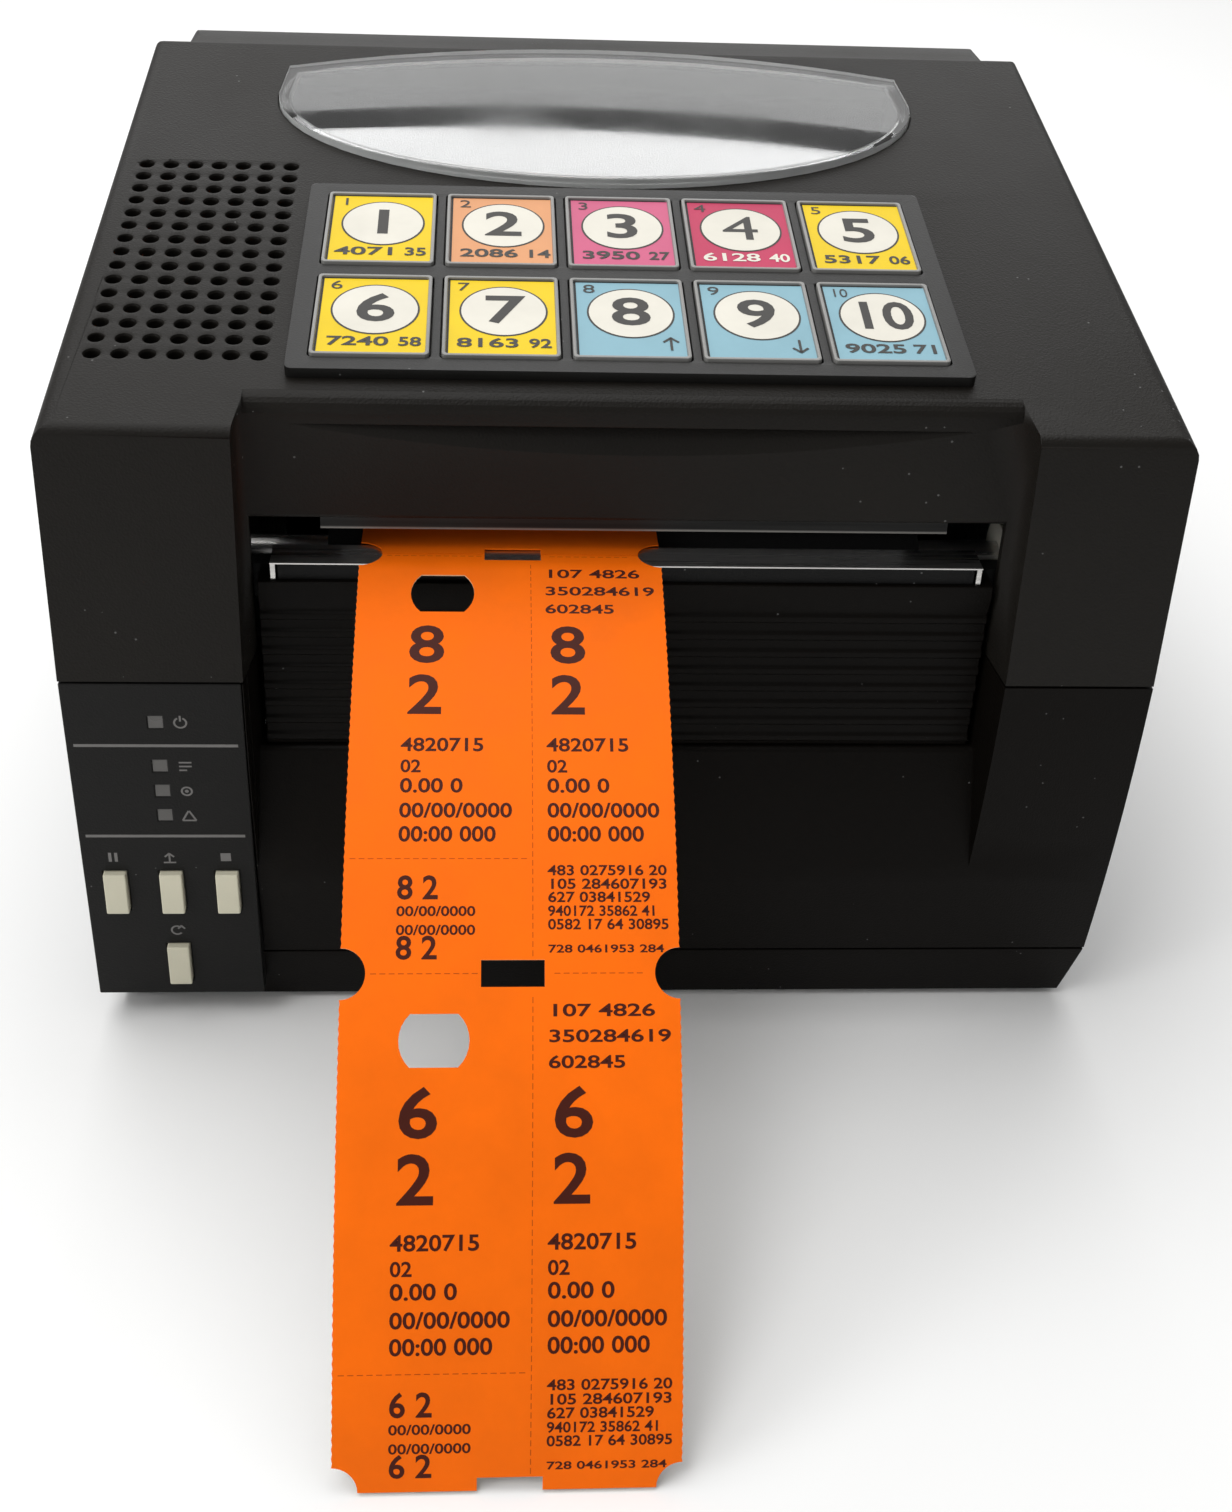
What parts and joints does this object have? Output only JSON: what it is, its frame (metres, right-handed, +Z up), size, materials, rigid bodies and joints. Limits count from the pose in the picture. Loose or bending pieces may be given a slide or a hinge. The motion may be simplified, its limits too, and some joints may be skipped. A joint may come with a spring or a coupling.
{
  "type": "ticket printer",
  "caption": "Desktop ticket printer with a hinged cover, a sloping keypad, a round-fronted window, panel buttons, and a card ticket strip falling from its slot.",
  "frame": {"origin": "under the middle of the whole printer with its hanging ticket, on the counter top", "axes": "+X to the printer's right seen from the front, +Y to its rear, +Z up"},
  "size_m": [0.231, 0.4074, 0.1864],
  "materials": {
    "cover_plastic": "fine moulded texture, charcoal black",
    "case_plastic": "moulded black, a little glossier than the cover",
    "panel_plastic": "moulded black with a fine texture",
    "inner_plastic": "plain moulded black",
    "window_clear": "clear, polished",
    "keypad_black": "black plate, satin",
    "key_grey": "silver grey frame round a label",
    "button_beige": "off-white, smooth",
    "light_grey": "grey diffuser, unlit",
    "steel": "brushed",
    "zinc": "zinc-plated sheet",
    "rubber": "matt",
    "circuit": "circuit board, green lacquer",
    "gear_white": "natural moulded gear plastic",
    "brass": "machined",
    "motor_black": "black motor can",
    "head_grey": "extruded heat sink",
    "ticket_card": "orange ticket card",
    "roll_card": "pale back of the ticket card, wound",
    "core_board": "wound board tube",
    "guide_green": "moulded green"
  },
  "bodies": {
    "case": {"base_tray": "case_plastic", "rubber_feet": "rubber", "case_screws": "steel", "lower_case": "case_plastic", "operation_panel": "panel_plastic", "led_windows": "light_grey", "panel_board": "circuit", "front_plate": "case_plastic", "exit_guide": "inner_plastic", "tear_bar": "steel", "left_frame": "zinc", "right_frame": "zinc", "platen_bushes": "gear_white", "drive_motor": "motor_black", "idler_axle": "steel", "web_chute": "inner_plastic", "roll_cradle": "inner_plastic", "media_spindle": "inner_plastic", "main_board": "circuit", "power_supply": "zinc", "power_inlet": "inner_plastic", "switch_bezel": "inner_plastic", "usb_port": "steel", "serial_port": "steel", "hinge_pins": "steel", "ticket_strip": "ticket_card", "ticket_web": "ticket_card"},
    "cover": {"top_cover": "cover_plastic", "window": "window_clear", "keypad_plate": "keypad_black", "keypad_board": "circuit", "head_bracket": "zinc", "print_head": "head_grey", "head_spring": "steel", "head_guard": "steel"},
    "key_1": {"key_1": "key_grey"},
    "key_2": {"key_2": "key_grey"},
    "key_3": {"key_3": "key_grey"},
    "key_4": {"key_4": "key_grey"},
    "key_5": {"key_5": "key_grey"},
    "key_6": {"key_6": "key_grey"},
    "key_7": {"key_7": "key_grey"},
    "key_8": {"key_8": "key_grey"},
    "key_9": {"key_9": "key_grey"},
    "key_10": {"key_10": "key_grey"},
    "pause_button": {"pause_button": "button_beige"},
    "feed_button": {"feed_button": "button_beige"},
    "stop_button": {"stop_button": "button_beige"},
    "mode_button": {"mode_button": "button_beige"},
    "platen": {"platen_roller": "rubber", "platen_shaft": "steel", "platen_gear": "gear_white"},
    "idler": {"idler_gear": "gear_white"},
    "pinion": {"motor_pinion": "brass", "motor_shaft": "steel"},
    "roll": {"ticket_roll": "roll_card", "roll_core": "core_board"},
    "guide": {"media_guide": "guide_green"},
    "rocker": {"power_rocker": "inner_plastic"}
  },
  "joints": [
    {"name": "cover_hinge", "type": "hinge", "parent": "case", "child": "cover", "pos_m": [0, 0.1994, 0.0975], "axis": [-1, 0, 0], "range_deg": [0, 90]},
    {"name": "key_1_press", "type": "slide", "parent": "cover", "child": "key_1", "axis": [0, 0.1908, -0.9816], "range_m": [0, 0.001], "stiffness_N_per_m": 400, "springref_m": -0.001},
    {"name": "key_2_press", "type": "slide", "parent": "cover", "child": "key_2", "axis": [0, 0.1908, -0.9816], "range_m": [0, 0.001], "stiffness_N_per_m": 400, "springref_m": -0.001},
    {"name": "key_3_press", "type": "slide", "parent": "cover", "child": "key_3", "axis": [0, 0.1908, -0.9816], "range_m": [0, 0.001], "stiffness_N_per_m": 400, "springref_m": -0.001},
    {"name": "key_4_press", "type": "slide", "parent": "cover", "child": "key_4", "axis": [0, 0.1908, -0.9816], "range_m": [0, 0.001], "stiffness_N_per_m": 400, "springref_m": -0.001},
    {"name": "key_5_press", "type": "slide", "parent": "cover", "child": "key_5", "axis": [0, 0.1908, -0.9816], "range_m": [0, 0.001], "stiffness_N_per_m": 400, "springref_m": -0.001},
    {"name": "key_6_press", "type": "slide", "parent": "cover", "child": "key_6", "axis": [0, 0.1908, -0.9816], "range_m": [0, 0.001], "stiffness_N_per_m": 400, "springref_m": -0.001},
    {"name": "key_7_press", "type": "slide", "parent": "cover", "child": "key_7", "axis": [0, 0.1908, -0.9816], "range_m": [0, 0.001], "stiffness_N_per_m": 400, "springref_m": -0.001},
    {"name": "key_8_press", "type": "slide", "parent": "cover", "child": "key_8", "axis": [0, 0.1908, -0.9816], "range_m": [0, 0.001], "stiffness_N_per_m": 400, "springref_m": -0.001},
    {"name": "key_9_press", "type": "slide", "parent": "cover", "child": "key_9", "axis": [0, 0.1908, -0.9816], "range_m": [0, 0.001], "stiffness_N_per_m": 400, "springref_m": -0.001},
    {"name": "key_10_press", "type": "slide", "parent": "cover", "child": "key_10", "axis": [0, 0.1908, -0.9816], "range_m": [0, 0.001], "stiffness_N_per_m": 400, "springref_m": -0.001},
    {"name": "pause_button_press", "type": "slide", "parent": "case", "child": "pause_button", "axis": [0, 1, 0], "range_m": [0, 0.001], "stiffness_N_per_m": 400, "springref_m": -0.001},
    {"name": "feed_button_press", "type": "slide", "parent": "case", "child": "feed_button", "axis": [0, 1, 0], "range_m": [0, 0.001], "stiffness_N_per_m": 400, "springref_m": -0.001},
    {"name": "stop_button_press", "type": "slide", "parent": "case", "child": "stop_button", "axis": [0, 1, 0], "range_m": [0, 0.001], "stiffness_N_per_m": 400, "springref_m": -0.001},
    {"name": "mode_button_press", "type": "slide", "parent": "case", "child": "mode_button", "axis": [0, 1, 0], "range_m": [0, 0.001], "stiffness_N_per_m": 400, "springref_m": -0.001},
    {"name": "platen_spin", "type": "hinge", "parent": "case", "child": "platen", "pos_m": [0, -0.05559, 0.1102], "axis": [1, 0, 0], "continuous": true},
    {"name": "idler_spin", "type": "hinge", "parent": "case", "child": "idler", "pos_m": [0.094, -0.03959, 0.08249], "axis": [1, 0, 0], "continuous": true},
    {"name": "pinion_spin", "type": "hinge", "parent": "case", "child": "pinion", "pos_m": [0.094, -0.01909, 0.06198], "axis": [1, 0, 0], "continuous": true},
    {"name": "roll_spin", "type": "hinge", "parent": "case", "child": "roll", "pos_m": [-0.022, 0.1174, 0.088], "axis": [1, 0, 0], "continuous": true},
    {"name": "guide_slide", "type": "slide", "parent": "case", "child": "guide", "axis": [1, 0, 0], "range_m": [0, 0.054]},
    {"name": "rocker_tilt", "type": "hinge", "parent": "case", "child": "rocker", "pos_m": [0.046, 0.1947, 0.048], "axis": [-1, 0, 0], "range_deg": [0, 18]}
  ],
  "couplings": [
    {"joint": "idler_spin", "follows": "platen_spin", "ratio": -0.6},
    {"joint": "pinion_spin", "follows": "platen_spin", "ratio": 1.3333}
  ]
}
